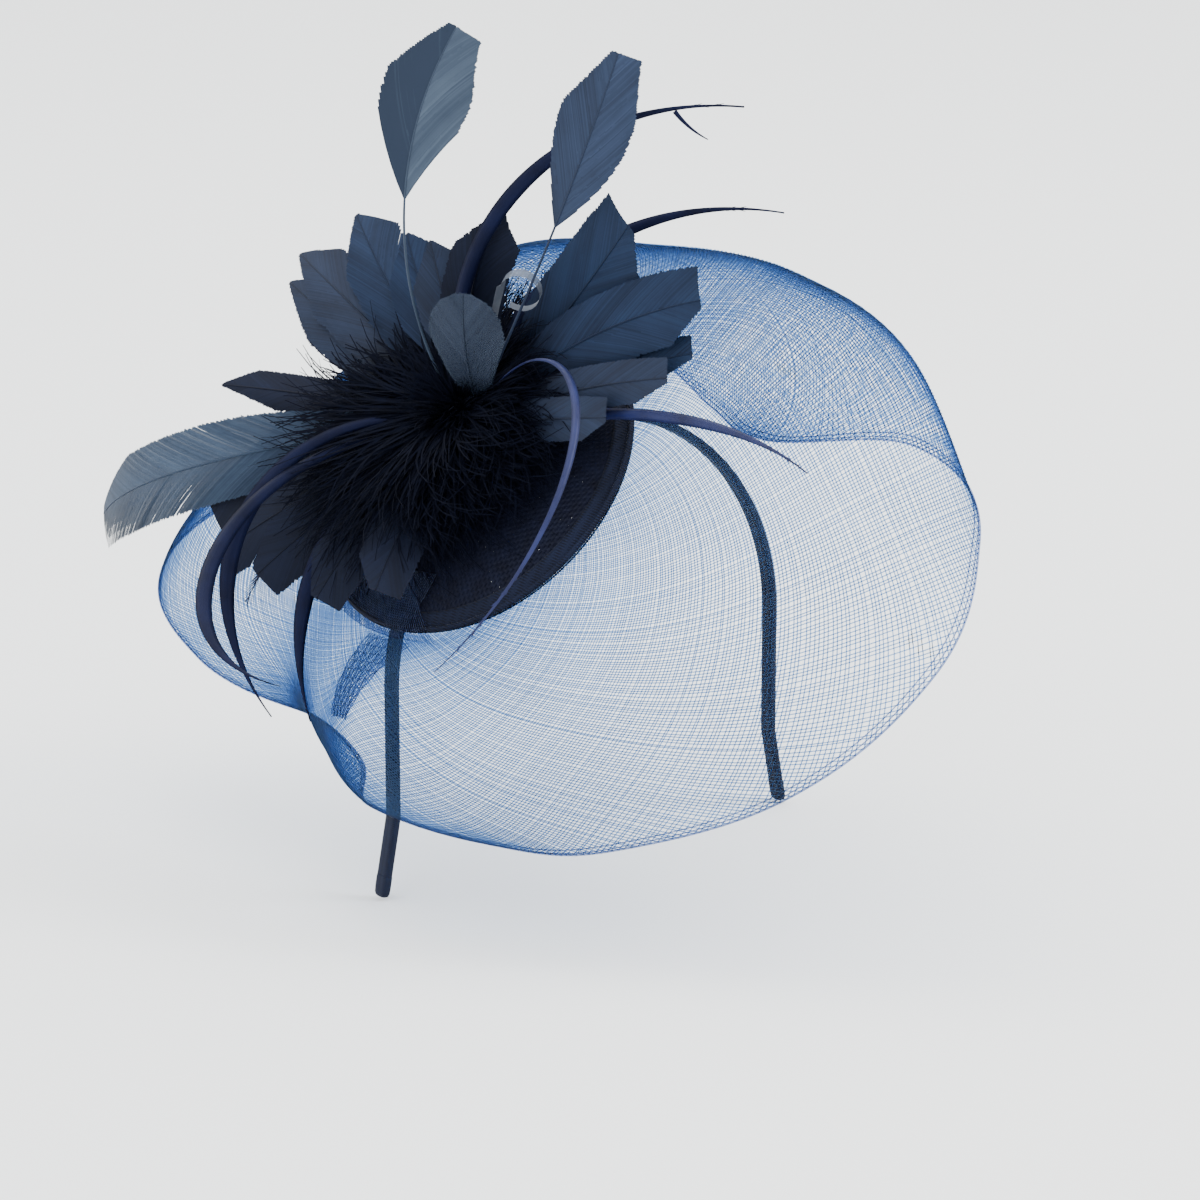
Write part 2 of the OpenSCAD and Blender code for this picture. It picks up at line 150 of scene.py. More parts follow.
# ---- mesh helpers ----
def mesh_piece(name, verts, faces, material, body, slot, shade=None):
    """A smooth-shaded piece of the model from millimetres, riding a body; the slot argument is not used."""
    mesh = bpy.data.meshes.new(name)
    mesh.from_pydata((np.asarray(verts) * MM).tolist(), [], faces)
    if shade is not None:
        mesh.attributes.new("shade", "FLOAT", "POINT").data.foreach_set("value", np.asarray(shade, float))
    mesh.validate()
    mesh.materials.append(material)
    mesh.polygons.foreach_set("use_smooth", [True] * len(mesh.polygons))
    piece = bpy.data.objects.new(name, mesh)
    bpy.context.scene.collection.objects.link(piece)
    if body:
        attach(piece, body)
    return piece


def join(*parts):
    """Several (verts, faces) as one."""
    verts, faces, start = [], [], 0
    for v, f in parts:
        verts.append(np.asarray(v).reshape(-1, 3))
        faces += [[i + start for i in face] for face in f]
        start += len(verts[-1])
    return np.concatenate(verts), faces


def strips(centres, halves):
    """Flat open strips: centres and half-width vectors are (strips, points, 3)."""
    count, length, _ = centres.shape
    verts = np.stack([centres + halves, centres - halves], 2).reshape(-1, 3)
    a = (np.arange(count)[:, None] * length + np.arange(length - 1)) * 2
    faces = np.stack([a, a + 1, a + 3, a + 2], -1).reshape(-1, 4)
    return verts, faces.tolist()


def unit(v):
    return v / np.maximum(np.linalg.norm(v, axis=-1, keepdims=True), 1e-9)


def tubes(paths, radius, sides=3, axis=(0.3, 0.5, 0.81)):
    """Closed tubes along paths of shape (tubes, points, 3)."""
    count, length, _ = paths.shape
    along = unit(np.gradient(paths, axis=1))
    across = unit(np.cross(along, np.array(axis)))
    other = np.cross(along, across)
    turn = np.arange(sides) * 2 * pi / sides
    ring = across[:, :, None] * np.cos(turn)[:, None] + other[:, :, None] * np.sin(turn)[:, None]
    radius = np.broadcast_to(np.asarray(radius, float), (count, length))
    verts = (paths[:, :, None] + ring * radius[:, :, None, None]).reshape(-1, 3)
    start = (np.arange(count)[:, None] * length + np.arange(length - 1)) * sides
    faces = [np.stack([start + j, start + (j + 1) % sides, start + sides + (j + 1) % sides,
                       start + sides + j], -1).reshape(-1, 4) for j in range(sides)]
    faces = np.concatenate(faces).tolist()
    first = np.arange(count) * length * sides
    last = first + (length - 1) * sides
    faces += (first[:, None] + np.arange(sides)[::-1]).tolist()
    faces += (last[:, None] + np.arange(sides)).tolist()
    return verts, faces


def swept(path, ring, close=False):
    """A skin over one ring of points per path place: both are (places, points, 3)."""
    places, points, _ = ring.shape
    rows = places if close else places - 1
    faces = []
    for i in range(rows):
        for j in range(points):
            a, b = i * points, ((i + 1) % places) * points
            k = (j + 1) % points
            faces.append([a + j, a + k, b + k, b + j])
    if not close:
        faces.append(list(range(points))[::-1])
        faces.append([(places - 1) * points + j for j in range(points)])
    return (ring + path[:, None]).reshape(-1, 3), faces


# ---- materials ----
def new_material(name):
    material = bpy.data.materials.new(name)
    material.use_nodes = True
    tree = material.node_tree
    shader = tree.nodes["Principled BSDF"]
    coords = tree.nodes.new("ShaderNodeTexCoord")
    return material, tree, shader, coords.outputs["Object"]


def noise(tree, coords, scale, stretch=None):
    if stretch:
        mapping = tree.nodes.new("ShaderNodeMapping")
        mapping.inputs["Scale"].default_value = stretch
        tree.links.new(coords, mapping.inputs["Vector"])
        coords = mapping.outputs["Vector"]
    node = tree.nodes.new("ShaderNodeTexNoise")
    node.inputs["Scale"].default_value = scale
    node.inputs["Detail"].default_value = 3.0
    tree.links.new(coords, node.inputs["Vector"])
    return node.outputs["Fac"]


def ramp(tree, value, *stops):
    node = tree.nodes.new("ShaderNodeValToRGB")
    elements = node.color_ramp.elements
    while len(elements) < len(stops):
        elements.new(0.5)
    for element, (place, colour) in zip(elements, stops):
        element.position = place
        element.color = (*colour, 1)
    tree.links.new(value, node.inputs["Fac"])
    return node.outputs["Color"]


def bump(tree, shader, height, strength, depth):
    node = tree.nodes.new("ShaderNodeBump")
    node.inputs["Strength"].default_value = strength
    node.inputs["Distance"].default_value = depth * MM
    tree.links.new(height, node.inputs["Height"])
    tree.links.new(node.outputs["Normal"], shader.inputs["Normal"])


def weave(tree, coords, pitch):
    """Two sets of fine ridges at right angles, pitch millimetres apart."""
    sets = []
    for turn in (45.0, 135.0):
        mapping = tree.nodes.new("ShaderNodeMapping")
        mapping.inputs["Rotation"].default_value = (radians(turn), radians(turn), radians(turn))
        tree.links.new(coords, mapping.inputs["Vector"])
        wave = tree.nodes.new("ShaderNodeTexWave")
        wave.inputs["Scale"].default_value = 2 * pi / 20 / (pitch * MM)
        wave.inputs["Distortion"].default_value = 0.6
        tree.links.new(mapping.outputs["Vector"], wave.inputs["Vector"])
        sets.append(wave.outputs["Fac"])
    high = tree.nodes.new("ShaderNodeMath")
    high.operation = "MAXIMUM"
    for value, socket in zip(sets, high.inputs):
        tree.links.new(value, socket)
    return high.outputs["Value"]


def fibre_material(name, dark, light, roughness, scale, alpha=1.0, specular=0.5, bumpy=0.0, shaded=False,
                   clear=0.0):
    """Fine fibre; with shaded, each fibre's shade value, its own tone plus any painted shade, sets its place
    between the two colours.

    With clear, light goes straight through and takes the fibre's colour, as in dyed nylon.
    """
    material, tree, shader, coords = new_material(name)
    value = noise(tree, coords, scale)
    if shaded:
        fibre = tree.nodes.new("ShaderNodeAttribute")
        fibre.attribute_name = "shade"
        blended = tree.nodes.new("ShaderNodeMath")
        blended.operation = "MULTIPLY_ADD"
        tree.links.new(value, blended.inputs[0])
        blended.inputs[1].default_value = 0.25
        tree.links.new(fibre.outputs["Fac"], blended.inputs[2])
        value = blended.outputs["Value"]
    tree.links.new(ramp(tree, value, (0.2, dark), (0.9, light)), shader.inputs["Base Color"])
    shader.inputs["Roughness"].default_value = roughness
    shader.inputs["Specular IOR Level"].default_value = specular
    shader.inputs["Alpha"].default_value = alpha
    if clear:
        shader.inputs["Transmission Weight"].default_value = clear
        shader.inputs["IOR"].default_value = 1.0
    if bumpy:
        bump(tree, shader, noise(tree, coords, scale * 14), 0.6, bumpy)
    return material


def woven_material(name, dark, light, roughness, pitch, sheen=0.2):
    """Fabric with a fine weave in its colour and its relief."""
    material, tree, shader, coords = new_material(name)
    cloth = weave(tree, coords, pitch)
    patch = noise(tree, coords, 60)
    mixed = tree.nodes.new("ShaderNodeMath")
    mixed.operation = "MULTIPLY"
    tree.links.new(cloth, mixed.inputs[0])
    tree.links.new(patch, mixed.inputs[1])
    colour = ramp(tree, mixed.outputs["Value"], (0.05, dark), (0.55, light))
    tree.links.new(colour, shader.inputs["Base Color"])
    shader.inputs["Roughness"].default_value = roughness
    shader.inputs["Sheen Weight"].default_value = sheen
    shader.inputs["Specular IOR Level"].default_value = 0.12
    bump(tree, shader, cloth, 0.7, pitch / 5)
    return material


def metal_material():
    material, tree, shader, coords = new_material("spring_steel")
    value = noise(tree, coords, 400, stretch=(1, 12, 1))
    tree.links.new(ramp(tree, value, (0.3, (0.30, 0.31, 0.33)), (0.7, (0.48, 0.49, 0.52))),
                   shader.inputs["Base Color"])
    shader.inputs["Metallic"].default_value = 1.0
    shader.inputs["Roughness"].default_value = 0.35
    return material


def feather_material(name, dark, light, specular=0.2, alpha=1.0):
    return fibre_material(name, dark, light, 0.65, 120, specular=specular, alpha=alpha, shaded=True)


CRIN = fibre_material("crin_nylon", (0.17, 0.28, 0.47), (0.25, 0.39, 0.61), 0.3, 25, clear=0.93)
CRIN_FOLD = fibre_material("crin_fold_nylon", (0.17, 0.22, 0.38), (0.28, 0.34, 0.53), 0.35, 40, clear=0.93)
STRAW = fibre_material("sinamay_straw", (0.0010, 0.0014, 0.006), (0.004, 0.006, 0.019), 0.65, 260,
                       specular=0.12, bumpy=0.05)
BINDING = woven_material("sinamay_binding", (0.0008, 0.0014, 0.006), (0.004, 0.007, 0.022), 0.75, 0.8, 0.02)
BAND = woven_material("band_fabric", (0.0014, 0.0024, 0.010), (0.006, 0.010, 0.028), 0.65, 0.55, 0.03)
FELT = fibre_material("felt", (0.003, 0.004, 0.014), (0.008, 0.012, 0.034), 0.95, 500, specular=0.08,
                      bumpy=0.1)
THREAD = woven_material("thread", (0.004, 0.005, 0.020), (0.014, 0.016, 0.055), 0.45, 0.35)
STEEL = metal_material()
SLATE = feather_material("feather_slate", (0.0010, 0.003, 0.011), (0.009, 0.020, 0.050), 0.12)
NAVY = feather_material("feather_navy", (0.0008, 0.002, 0.008), (0.009, 0.017, 0.042))
BLUE = feather_material("feather_blue", (0.0020, 0.005, 0.015), (0.019, 0.033, 0.072))
INK = feather_material("feather_ink", (0.0004, 0.0009, 0.004), (0.004, 0.007, 0.021), 0.12)
PALE = feather_material("feather_pale_slate", (0.008, 0.016, 0.034), (0.046, 0.066, 0.098))
GREY = feather_material("feather_grey_blue", (0.006, 0.014, 0.032), (0.034, 0.055, 0.092), 0.15, 0.95)
SMOKE = feather_material("feather_smoke", (0.004, 0.008, 0.018), (0.024, 0.034, 0.056), 0.15, 0.85)
CURL = fibre_material("feather_curl", (0.05, 0.06, 0.08), (0.15, 0.17, 0.21), 0.6, 120, specular=0.2,
                      alpha=0.8)
VIOLET = fibre_material("feather_violet", (0.003, 0.005, 0.030), (0.014, 0.021, 0.090), 0.5, 90,
                        specular=0.2)
BIOT = fibre_material("feather_biot", (0.0008, 0.0016, 0.009), (0.0035, 0.006, 0.030), 0.65, 90,
                      specular=0.08)
HACKLE = fibre_material("hackle", (0.0004, 0.0007, 0.003), (0.0018, 0.003, 0.010), 0.85, 300, specular=0.06)
SLOT_LOOKS = {"band_spring": STEEL, "band_fabric": BAND, "felt": FELT, "thread": THREAD, "sinamay": STRAW,
              "edge_wire": STEEL, "crin": CRIN, "crin_fold": CRIN_FOLD, "feather_slate": SLATE,
              "feather_navy": NAVY, "feather_violet": VIOLET, "hackle": HACKLE}

for node_name, node_object in nodes.items():
    node_object.data.materials.clear()
    node_object.data.materials.append(HACKLE if node_name == "spray_root_binding"
                                      else SLOT_LOOKS[SLOT_OF[node_name]])


# ---- crin brim ----
def dome_height(x, y, lift=0.0):
    return DOME_Z + np.sqrt((DOME_R + lift) ** 2 - x ** 2 - y ** 2)


def wave_value(psi, column):
    """Smooth periodic curve through the brim stations, for angles from 0 to 360."""
    angles, values = BRIM_WAVES[:, 0], BRIM_WAVES[:, column]
    count = len(angles)
    i = np.clip(np.searchsorted(angles, psi, side="right") - 1, 0, count - 1)

    def at(k):
        return angles[k % count] + 360.0 * (k // count), values[k % count]

    (a_low, v_low), (a0, v0), (a1, v1), (a2, v2) = at(i - 1), at(i), at(i + 1), at(i + 2)
    span = a1 - a0
    m0 = (v1 - v_low) / (a1 - a_low) * span
    m1 = (v2 - v0) / (a2 - a0) * span
    t = (psi - a0) / span
    return (v0 * (1 + 2 * t) * (1 - t) ** 2 + m0 * t * (1 - t) ** 2
            + v1 * t * t * (3 - 2 * t) + m1 * t * t * (t - 1))


BRIM_ROWS = 56
brim_psi = np.arange(361.0)
brim_width = wave_value(brim_psi % 360, 1)
mid_share = (np.arange(BRIM_ROWS) + 0.5) / BRIM_ROWS
brim_slope = np.radians(wave_value(brim_psi % 360, 2)[:, None]
                        - wave_value(brim_psi % 360, 3)[:, None] * mid_share ** TURN_POWER)
brim_step = brim_width[:, None] / BRIM_ROWS
start_column = np.zeros((361, 1))
brim_r = CRIN_OUT + np.concatenate([start_column, np.cumsum(brim_step * np.cos(brim_slope), 1)], 1)
brim_h = CRIN_H + np.concatenate([start_column, np.cumsum(brim_step * np.sin(brim_slope), 1)], 1)


def brim_points(psi, share, lift=0.0):
    """Points of the brim in the base's own frame: psi in degrees, share 0 at the base and 1 at the edge."""
    psi = np.mod(psi, 360.0)
    i = np.minimum(psi.astype(int), 359)
    row = np.clip(share, 0, 1) * BRIM_ROWS
    j = np.minimum(row.astype(int), BRIM_ROWS - 1)
    u, v = psi - i, row - j

    def mixed(grid):
        return ((grid[i, j] * (1 - u) + grid[i + 1, j] * u) * (1 - v)
                + (grid[i, j + 1] * (1 - u) + grid[i + 1, j + 1] * u) * v)

    slope_grid = np.concatenate([brim_slope[:, :1], (brim_slope[:, 1:] + brim_slope[:, :-1]) / 2,
                                 brim_slope[:, -1:]], 1)
    slope = mixed(slope_grid)
    r = mixed(brim_r) - lift * np.sin(slope) + np.minimum(share, 0) * brim_width[i]
    h = mixed(brim_h) + lift * np.cos(slope)
    angle = np.radians(psi)
    return np.stack([r * np.cos(angle), r * np.sin(angle), h], -1)


def make_brim():
    """Two families of threads that wind opposite ways, from just under the base out to the edge."""
    per_family, points, twist, thread_r, lift = 410, 38, 76.0, 0.205, 0.13
    under_base, wander = -0.043, 0.12
    share = np.linspace(under_base, 1, points)[None]
    families = []
    for way in (1, -1):
        start = np.arange(per_family)[:, None] * 360.0 / per_family
        start = start + random.normal(0, wander, (per_family, 1))
        psi = start + way * twist * share * (1.25 - 0.25 * share)
        paths = brim_points(psi, np.broadcast_to(share, psi.shape), way * lift)
        families.append(tubes(on_base(paths), thread_r))
    verts, faces = join(*families)
    brim = mesh_piece("crin_mesh", verts, faces, CRIN, "crown", "crin")
    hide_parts("crin_brim")
    return brim


def make_selvedge():
    """One thick thread on the brim's edge and a thin one on each side of it."""
    psi = np.linspace(0, 360, 721)[None, :-1]
    psi = np.concatenate([psi, psi[:, :1] + 360], 1)
    parts = []
    for share, radius, lift in ((1.0, 0.36, 0.0), (0.988, 0.2, 0.25), (0.976, 0.2, -0.25)):
        parts.append(tubes(on_base(brim_points(psi, np.full(psi.shape, share), lift)), radius, 5))
    edge = mesh_piece("crin_edge_threads", *join(*parts), CRIN_FOLD, "crown", "crin_fold")
    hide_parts("crin_selvedge")
    return edge


def make_tail():
    """The gathered end of the crin: threads laid in narrowing pleats, under the brim beside the band."""
    threads, rung_count, points, rung_points, angle, depth = 16, 10, 40, 24, TAIL_ANGLE, -2.6
    thread_r, pleats, pleat_depth, lift, crossings, margin = 0.16, 2.5, 0.5, 0.12, 3, 0.97

    def half_width(along):
        return TAIL_HALF * (1.7 - 2.2 * along)

    share = np.linspace(0.0, 0.5, points)[None]
    place = np.linspace(-1, 1, threads)[:, None]
    half = half_width(share)
    centre = brim_points(np.full(share.shape, angle), share, depth)
    sideways = np.array([sin(radians(angle)), -cos(radians(angle)), 0.0])
    families = []
    for way in (1, -1):
        drift = np.mod((place + way * share * crossings + 1) / 2, 1) * 2 - 1
        drift = np.clip(drift, -margin, margin)
        fold = 2 * np.abs(np.mod(drift * pleats, 1) - 0.5)
        depth_of = (fold - 0.5) * pleat_depth + way * lift
        paths = centre + (place * half)[..., None] * sideways + depth_of[..., None] * np.array([0, 0, 1.0])
        families.append(tubes(on_base(paths), thread_r))
    rungs = np.linspace(0.01, 0.49, rung_count)[:, None]
    across = np.linspace(-1, 1, rung_points)[None]
    middle = brim_points(np.full((rung_count, rung_points), angle), rungs + 0.02 * across, depth)
    ladder = middle + (across * half_width(rungs))[..., None] * sideways
    verts, faces = join(*families, tubes(on_base(ladder), thread_r))
    tail = mesh_piece("crin_gathered_end", verts, faces, CRIN_FOLD, "crown", "crin_fold")
    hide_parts("crin_tail")
    return tail


def make_lap():
    """Crin carried up over the lower edge of the base, where the braid's ends are stitched down."""
    threads, points, start, stop, thread_r, lift = 46, 26, 172.0, 214.0, 0.16, 0.12
    twist, inner_r, reach, above, edge_fall = 14.0, 36.0, 19.0, 1.0, 0.09
    t = np.linspace(0, 1, points)[None]
    families = []
    for way in (1, -1):
        psi = np.linspace(start, stop, threads)[:, None] + way * twist * (t - 0.5)
        r = inner_r + reach * t + 0.8 * np.sin(np.radians(psi) * 5)
        x, y = r * np.cos(np.radians(psi)), r * np.sin(np.radians(psi))
        inside = np.minimum(r, BASE_R - 1)
        z = dome_height(inside, 0.0) + above + 0.5 * np.sin(np.radians(psi) * 9) + way * lift
        z = np.where(r > BASE_R - 1, z - (r - BASE_R + 1) ** 2 * edge_fall, z)
        families.append(tubes(on_base(np.stack([x, y, z], -1)), thread_r))
    return mesh_piece("crin_lap", *join(*families), CRIN_FOLD, "crown", "crin")


brim_piece = make_brim()
edge_piece = make_selvedge()
tail_piece = make_tail()
lap_piece = make_lap()


# ---- sinamay base ----
def make_straw_layer(name, node, lift, turn):
    """Real straw strands woven over and under each other on the dome."""
    pitch, half, wave_up, edge, wander_by = 1.05, 0.54, 0.1, 49.4, 0.05
    lines = np.arange(-edge + pitch / 2, edge, pitch)
    steps = int(edge / pitch * 3.2)
    parts = []
    for family in (0, 1):
        across = np.broadcast_to(lines[:, None], (len(lines), steps))
        reach = np.sqrt(edge ** 2 - lines[:, None] ** 2)
        along = np.linspace(-1, 1, steps)[None] * reach
        parity = (np.arange(len(lines)) + family)[:, None] * pi
        over = wave_up * np.cos(pi * along / pitch + parity)
        wander = wander_by * np.sin(along / 7 + lines[:, None] * 3)
        flip = radians(turn + 90 * family)
        x = (across + wander) * cos(flip) - along * sin(flip)
        y = (across + wander) * sin(flip) + along * cos(flip)
        centre = np.stack([x, y, dome_height(x, y, lift) + over], -1)
        wide = half * (1 + 0.04 * np.sin(lines * 12))[:, None, None]
        side = wide * np.array([cos(flip), sin(flip), 0.0]) * np.ones_like(centre)
        parts.append(strips(on_base(centre), side @ BASE_AXES.T))
    layer = mesh_piece(name, *join(*parts), STRAW, "crown", "sinamay")
    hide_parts(node)
    return layer


def make_binding():
    """Bias strip folded over the edge of the base, wider than the wire inside it."""
    width, rise, places, turn_in = 4.6, 0.35, 240, 0.6
    inner = BASE_R - width
    top = [(r, float(dome_height(r, 0.0)) + rise) for r in np.linspace(inner, BASE_R - turn_in, 5)]
    edge = [(BASE_R + EDGE_R * cos(a), EDGE_H + EDGE_R * sin(a)) for a in np.radians(np.arange(70, -80, -20))]
    low = [(r, float(dome_height(r, 0.0, -2 * LAYER_T)) - rise)
           for r in np.linspace(BASE_R - turn_in, inner, 5)]
    low = [(r, max(z, EDGE_H - EDGE_R)) for r, z in low]
    profile = np.array(top + edge + low)
    angle = np.linspace(0, 2 * pi, places, endpoint=False)
    ruffle = 1 + 0.004 * np.sin(angle * 37) * np.sin(angle * 11)
    ring = np.stack([profile[None, :, 0] * np.cos(angle)[:, None],
                     profile[None, :, 0] * np.sin(angle)[:, None],
                     profile[None, :, 1] * ruffle[:, None]], -1)
    verts, faces = swept(np.zeros((places, 3)), ring, close=True)
    binding = mesh_piece("base_bound_edge", on_base(verts), faces, BINDING, "crown", "sinamay")
    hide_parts("base_edge_binding")


upper_piece = make_straw_layer("sinamay_upper", "base_layer_upper", 0.0, 12.0)
lower_piece = make_straw_layer("sinamay_lower", "base_layer_lower", -0.6, 57.0)
make_binding()


# ---- feathers ----
def eased(a, b, t):
    return a + (b - a) * np.clip(t, 0, 1)


def smooth(t):
    t = np.clip(t, 0, 1)
    return t * t * (3 - 2 * t)


def vane_share(kind, s, right):
    """Half width of the vane on one side, as a share of its full width."""
    if kind == "stem":
        tip = 0.3 if right else 0.08
        rise = 0.5 * np.sin(pi / 2 * np.clip((s - 0.56) / 0.26, 0, 1))
        return np.where(s < 0.84, rise, eased(0.5, tip, (s - 0.85) / 0.15))
    if kind == "cut":
        tip = 0.1 if right else 0.45
        rise = 0.5 * np.sin(pi / 2 * np.clip(0.12 + s / 0.62, 0, 1))
        return np.where(s < 0.75, rise, eased(0.5, tip, (s - 0.82) / 0.18))
    if kind == "point":
        rise = 0.5 * np.sin(pi / 2 * np.clip(0.1 + s / 0.6, 0, 1))
        return rise * eased(1, 0.03, (s - (0.86 if right else 0.72)) / (0.14 if right else 0.28))
    if kind == "round":
        return eased(0.08, 0.5, s / 0.6) * np.sqrt(np.maximum(0.02, 1 - (np.maximum(0, s - 0.6) / 0.4) ** 2))
    if kind == "biot":
        return np.where(s < 0.5, eased(0.2, 0.5, s / 0.5), 0.5 - 0.46 * smooth((s - 0.6) / 0.4))
    if kind == "strand":
        return 0.5 - 0.44 * smooth((s - 0.45) / 0.55)
    return eased(0.2, 0.5, s / 0.6) * eased(1, 0.3, (s - 0.6) / 0.4)


class Quill:
    """A feather's centre line with its own directions, in the base's frame."""
    steps = 60

    def __init__(self, feather):
        _, self.kind, (root_r, root_a, root_h), azimuth, elevation = feather[:5]
        self.length, droop, sweep, self.width, roll = feather[5:]
        root = np.array([SPRAY_AT[0] + root_r * cos(radians(root_a)),
                         SPRAY_AT[1] + root_r * sin(radians(root_a)), SPRAY_AT[2] + root_h])

        def heading(s):
            z, e = np.radians(azimuth + sweep * s), np.radians(elevation - droop * s)
            return np.stack([np.cos(e) * np.cos(z), np.cos(e) * np.sin(z), np.sin(e)], -1)

        share = np.linspace(0, 1, self.steps + 1)
        mids = heading((share[1:] + share[:-1]) / 2)
        self.path = root + np.concatenate([np.zeros((1, 3)), np.cumsum(mids, 0)]) * self.length / self.steps
        self.along = heading(share)
        z = np.radians(azimuth + sweep * share)
        side = np.stack([-np.sin(z), np.cos(z), np.zeros_like(z)], -1)
        self.side = side * cos(radians(roll)) + np.cross(self.along, side) * sin(radians(roll))
        self.up = np.cross(self.along, self.side)

    def at(self, s, which):
        grid = getattr(self, which)
        t = np.clip(s, 0, 1) * self.steps
        i = np.minimum(t.astype(int), self.steps - 1)
        u = (t - i)[..., None]
        return grid[i] * (1 - u) + grid[i + 1] * u

    def point(self, s, off, lift):
        return self.at(s, "path") + self.at(s, "side") * off[..., None] + self.at(s, "up") * lift[..., None]


def barbs(quill, first, angle, spacing, camber, fray, dark_side):
    """The vane: barbs that leave the quill on both sides, lap one another and end at the outline."""
    points, samples, splits, split_turn, shortest = 6, 90, 1, 2.6, 0.6
    overlap, tip_widening, tilt_share = 0.95, 1.35, 0.03
    parts, shades = [], []
    for right in (False, True):
        sign = -1.0 if right else 1.0
        roots = np.arange(first, 0.995, spacing / quill.length)
        lean = np.radians(angle + random.normal(0, 0.25, len(roots)))
        for split in random.uniform(first + 0.2, 0.95, splits):
            away = roots - split
            lean += np.radians(split_turn) * np.exp(-np.abs(away) * quill.length / 5) * np.sign(away)
        reach = np.linspace(0, quill.width * 2.2, samples)[None]
        s = roots[:, None] + reach * np.cos(lean)[:, None] / quill.length
        off = reach * np.sin(lean)[:, None]
        ragged = 1 + fray * random.normal(0, 1, (len(roots), 1))
        limit = vane_share(quill.kind, s, right) * quill.width * ragged
        stop = (off > limit) | (s > 1.0)
        last = np.where(stop.any(1), stop.argmax(1), samples - 1)
        end = reach[0, last]
        keep = end > shortest
        roots, lean, end = roots[keep], lean[keep], end[keep]
        t = np.linspace(0, 1, points)[None] * end[:, None]
        s = roots[:, None] + t * np.cos(lean)[:, None] / quill.length
        off = sign * t * np.sin(lean)[:, None]
        lift = -camber * off ** 2 / quill.width + random.normal(0, 0.012, (len(roots), 1))
        centre = quill.point(s, off, lift)
        heading = unit(np.gradient(centre, axis=1))
        flat = unit(np.cross(quill.at(s, "up"), heading))
        tilt = tilt_share * quill.at(s, "up")
        taper = np.linspace(1.0, tip_widening, points)[None, :, None]
        half = (flat + tilt) * taper * spacing * np.sin(lean)[:, None, None] * overlap
        parts.append(strips(centre, half))
        place = roots * quill.length
        tone_and_painted_shade = 0.52 + 0.07 * np.sin(place / 4.3 + sign) + random.normal(0, 0.07, len(roots))
        # Painted shade: the barbs darken towards the vane's root, where the feathers gather into the ruff,
        # and by dark_side on the left vane.
        tone_and_painted_shade = tone_and_painted_shade[:, None] - 0.55 * (1 - smooth(s / 0.62)) - (0.0 if right else dark_side)
        shades.append(np.repeat(tone_and_painted_shade, 2, axis=1).ravel())
    return (*join(*parts), np.concatenate(shades))


def quill_tube(quill, thick, thin):
    s = np.linspace(0, 1, 50)
    radius = thick + (thin - thick) * s
    return tubes(quill.at(s, "path")[None], radius[None], 6)


def blade(quill, fold, wander, share):
    """A stripped strand or biot: a narrow blade folded along its middle."""
    s = np.linspace(0, 1, 80)
    left = vane_share(quill.kind, s, False) * quill.width * share
    shake = wander * np.sin(s * 40) * np.sin(s * 17)
    offsets = [(-1.0, -fold), (-0.45, -fold * 0.3), (0.0, 0.12), (0.45, -fold * 0.3), (1.0, -fold),
               (0.45, -fold * 0.3 - 0.2), (0.0, -0.1), (-0.45, -fold * 0.3 - 0.2)]
    ring = np.stack([quill.point(s, left * a + shake, left * b) for a, b in offsets], 1)
    return swept(np.zeros((len(s), 3)), ring)


def hairs_along(quill, s_range, count, length, angle):
    """Short stray barbs on a strand."""
    s0 = random.uniform(*s_range, count)
    sign = random.choice([-1.0, 1.0], count)
    t = np.linspace(0, 1, 5)[None] * (length * random.uniform(0.5, 1.0, count))[:, None]
    s = s0[:, None] + t * cos(radians(angle)) / quill.length
    off = sign[:, None] * t * sin(radians(angle))
    centre = quill.point(s, off, np.zeros_like(off))
    half = unit(np.cross(quill.at(s, "up"), np.gradient(centre, axis=1)))
    return strips(centre, half * np.linspace(0.22, 0.05, 5)[None, :, None])


# For each kind: where the vane starts, the barbs' angle, their spacing, the vane's camber and its fray
VANES = {"stem": (0.56, 27.0, 0.6, 0.25, 0.008), "cut": (0.08, 25.0, 0.66, 0.3, 0.008),
         "point": (0.08, 24.0, 0.66, 0.35, 0.02), "round": (0.08, 33.0, 0.66, 0.6, 0.01)}
# Feathers whose look isn't their slot's own
LOOKS = {"left_cut_feather": GREY, "round_centre_feather": SMOKE, "curled_feather": CURL,
         "stem_feather_left": PALE, "stem_feather_right": BLUE, "dark_centre_feather": INK,
         "back_feather_1": SLATE, "back_feather_3": NAVY, "back_feather_4": SLATE, "back_feather_6": INK,
         "right_cut_feather_4": NAVY, "right_cut_feather_5": NAVY, "low_cut_feather_1": INK,
         "low_cut_feather_2": INK, "low_cut_feather_3": INK, "low_cut_feather_4": INK,
         "low_cut_feather_5": INK, "biot_1": BIOT, "biot_2": BIOT, "biot_3": BIOT, "ragged_biot": BIOT,
         "strand_top": BIOT, "strand_side": BIOT}
# How much painted shade darkens the vane on its left side
DARK_SIDE = {"stem_feather_left": 0.55, "stem_feather_right": 0.12, "left_cut_feather": 0.15}


